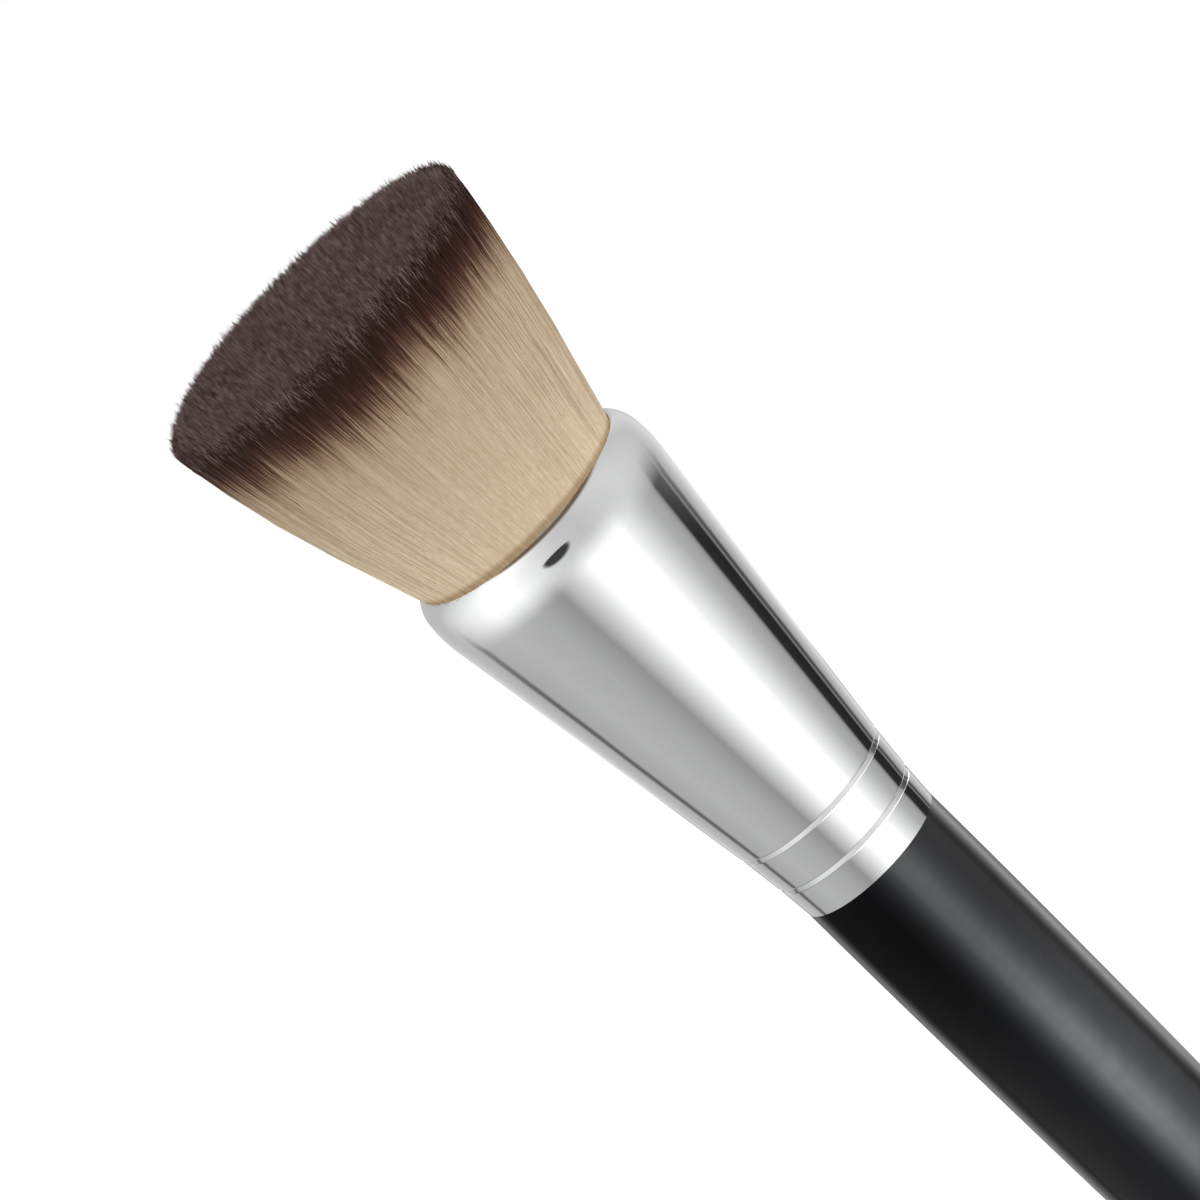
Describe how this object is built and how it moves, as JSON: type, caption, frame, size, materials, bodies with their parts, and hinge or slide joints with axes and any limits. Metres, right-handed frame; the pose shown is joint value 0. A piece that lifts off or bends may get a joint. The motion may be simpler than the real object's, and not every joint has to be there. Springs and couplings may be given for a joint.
{
  "type": "makeup brush",
  "caption": "Flat-top kabuki makeup brush: a dense flared two-tone tuft in a chromed conical ferrule on a tapered gloss-black handle.",
  "frame": {"origin": "end of the handle, on the brush's axis", "axes": "+Z along the brush's axis, from the handle's end to the bristles; X and Y are alike, because the brush is round"},
  "size_m": [0.0305, 0.0307, 0.1776],
  "materials": {
    "bristles": "fine synthetic filament, blond with dark brown ends",
    "binding_thread": "waxed thread, wound close",
    "resin_plug": "cast resin",
    "ferrule": "mirror-polished plating",
    "tenon_adhesive": "set adhesive",
    "handle_core": "turned hardwood, hidden under the lacquer",
    "lacquer_coat": "polished black lacquer"
  },
  "bodies": {
    "root": {"bristles": "bristles", "binding_thread": "binding_thread", "resin_plug": "resin_plug", "ferrule": "ferrule", "tenon_adhesive": "tenon_adhesive", "handle_core": "handle_core", "lacquer_coat": "lacquer_coat"}
  },
  "joints": []
}
